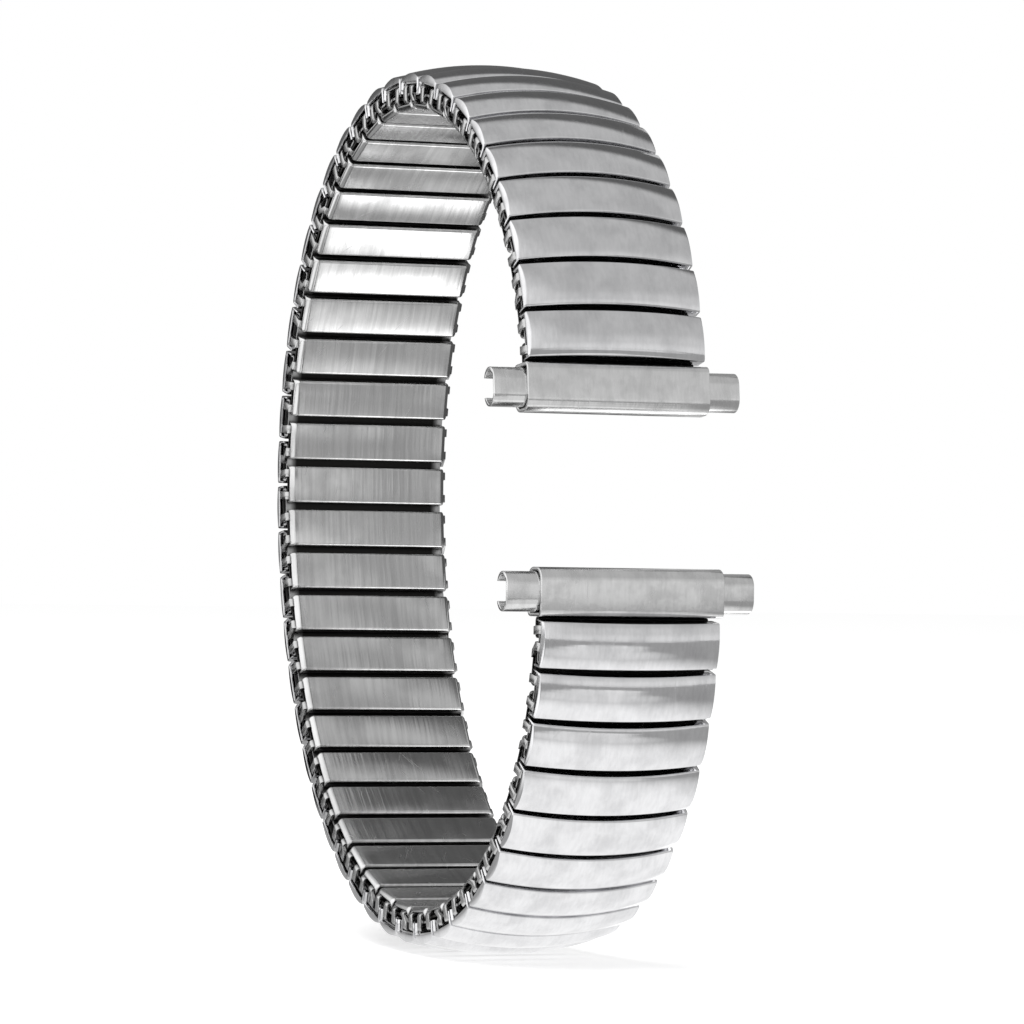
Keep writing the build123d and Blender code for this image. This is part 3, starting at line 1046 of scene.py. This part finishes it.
# Brightness of the tent in a direction: x to the right, y to the back, z up. Each level takes over
# between the two limits of its step.
def tent_brightness(x, y, z):
    low_right = step_between(x - 0.5 * y, 0.3, 0.6) * (1 - step_between(z, 0.25, 0.5))
    bright = moved_towards(tent_overhead, tent_left, step_between(-x - 0.2 * y, 0.05, 0.45))
    bright = moved_towards(bright, tent_low_right, low_right * step_between(-y, -0.1, 0.2))
    bright = moved_towards(bright, tent_lowest_right, low_right * (1 - step_between(z, 0.05, 0.2)))
    bright = moved_towards(bright, tent_behind, step_between(0.6 * x + 0.8 * y, 0.42, 0.58))
    return moved_towards(bright, tent_far_left, step_between(-x, 0.45, 0.58))


tent_points = []
tent_glow = []
for row in range(tent_rows + 1):
    elevation = math.radians(tent_lowest + (90.0 - tent_lowest) * row / tent_rows)
    for column in range(tent_columns):
        bearing = 2 * math.pi * column / tent_columns
        direction = Vector((math.sin(bearing) * math.cos(elevation),
                            math.cos(bearing) * math.cos(elevation), math.sin(elevation)))
        tent_points.append(direction * tent_radius)
        tent_glow.append(tent_brightness(*direction))
tent_faces = []
for row in range(tent_rows):
    for column in range(tent_columns):
        after = (column + 1) % tent_columns
        base, over = row * tent_columns, (row + 1) * tent_columns
        tent_faces.append((base + column, over + column, over + after, base + after))
tent_light = bpy.data.materials.new("tent_light")
tent_light.use_nodes = True
tree = tent_light.node_tree
tree.nodes.remove(tree.nodes["Principled BSDF"])
glow = tree.nodes.new("ShaderNodeEmission")
source = tree.nodes.new("ShaderNodeAttribute")
source.attribute_name = "glow"
tree.links.new(source.outputs["Fac"], glow.inputs["Strength"])
tree.links.new(glow.outputs["Emission"], tree.nodes["Material Output"].inputs["Surface"])


# A sheet that only reflections see, with the brightness given at each of its points
def reflected_sheet(name, points, faces, brightness):
    mesh = bpy.data.meshes.new(name)
    mesh.from_pydata(points, [], faces)
    attribute = mesh.attributes.new("glow", "FLOAT", "POINT")
    attribute.data.foreach_set("value", brightness)
    mesh.materials.append(tent_light)
    sheet = bpy.data.objects.new(name, mesh)
    bpy.context.scene.collection.objects.link(sheet)
    sheet.visible_camera = False
    sheet.visible_diffuse = False
    sheet.visible_shadow = False


reflected_sheet("light_tent", tent_points, tent_faces, tent_glow)

# Grey card close to the band's right, which the inner links of the lower back mirror. Its levels
# give where each starts and is reached along the card, then its brightness.
card_x = 20.0 * mm
card_front, card_back = 4.0 * mm, 78.0 * mm
card_foot = -12.0 * mm
card_front_top = 21.0 * mm
card_rise = 14.0 * mm
card_rise_start, card_rise_end = 12.0 * mm, 26.0 * mm
card_front_brightness = 0.5
card_levels = ((5.0 * mm, 9.0 * mm, 0.32), (15.0 * mm, 21.0 * mm, 0.64), (28.0 * mm, 38.0 * mm, 0.11))
card_steps = 24


def card_brightness(y):
    bright = card_front_brightness
    for start, reached, level in card_levels:
        bright = moved_towards(bright, level, step_between(y, start, reached))
    return bright


def card_top(y):
    return card_front_top + card_rise * step_between(y, card_rise_start, card_rise_end)


card_points = []
for row in range(card_steps + 1):
    for column in range(card_steps + 1):
        y = card_front + (card_back - card_front) * column / card_steps
        z = card_foot + (card_top(y) - card_foot) * row / card_steps
        card_points.append((card_x, y, z))
card_faces = []
for row in range(card_steps):
    for column in range(card_steps):
        base, over = row * (card_steps + 1) + column, (row + 1) * (card_steps + 1) + column
        card_faces.append((base, over, over + 1, base + 1))
card_glow = [card_brightness(point[1]) for point in card_points]
reflected_sheet("grey_card", card_points, card_faces, card_glow)

# Lamps: one broad soft lamp from the upper left in front. It gives the floor its shadow, and
# reflections don't see it.
key_size = 0.5
key_power = 4.5
key_place = Vector((-0.35, -0.3, 0.7))

lamp_data = bpy.data.lights.new("key", "AREA")
lamp_data.shape = "SQUARE"
lamp_data.size = key_size
lamp_data.energy = key_power
key = bpy.data.objects.new("key", lamp_data)
bpy.context.scene.collection.objects.link(key)
key.location = key_place
band_middle = Vector(((low[0] + high[0]) / 2, (low[1] + high[1]) / 2, (low[2] + high[2]) / 2))
key.rotation_euler = (band_middle - key_place).to_track_quat("-Z", "Y").to_euler()
key.visible_glossy = False

# Camera: the photograph's view, level with the gap between the end sleeves and 22.5 degrees to
# the left of the band's front, far off through a long lens
sensor_width = 36.0
camera_lens = 187.29
camera_clip_start = 0.01
camera_azimuth = math.radians(22.485)
camera_roll = math.radians(1.10)
camera_place = Vector((-172.04, -394.78, -9.48)) * mm

ahead = Vector((math.sin(camera_azimuth), math.cos(camera_azimuth), 0))
right = Vector((math.cos(camera_azimuth), -math.sin(camera_azimuth), 0))
up = right.cross(ahead)
rolled_right = right * math.cos(camera_roll) + up * math.sin(camera_roll)
rolled_up = up * math.cos(camera_roll) - right * math.sin(camera_roll)
camera_data = bpy.data.cameras.new("camera")
camera_data.sensor_width = sensor_width
camera_data.lens = camera_lens
camera_data.clip_start = camera_clip_start
camera = bpy.data.objects.new("camera", camera_data)
bpy.context.scene.collection.objects.link(camera)
axes = Matrix((rolled_right, rolled_up, -ahead)).transposed()
camera.matrix_world = Matrix.Translation(camera_place) @ axes.to_4x4()
bpy.context.scene.camera = camera
bpy.context.scene.view_settings.view_transform = "Standard"
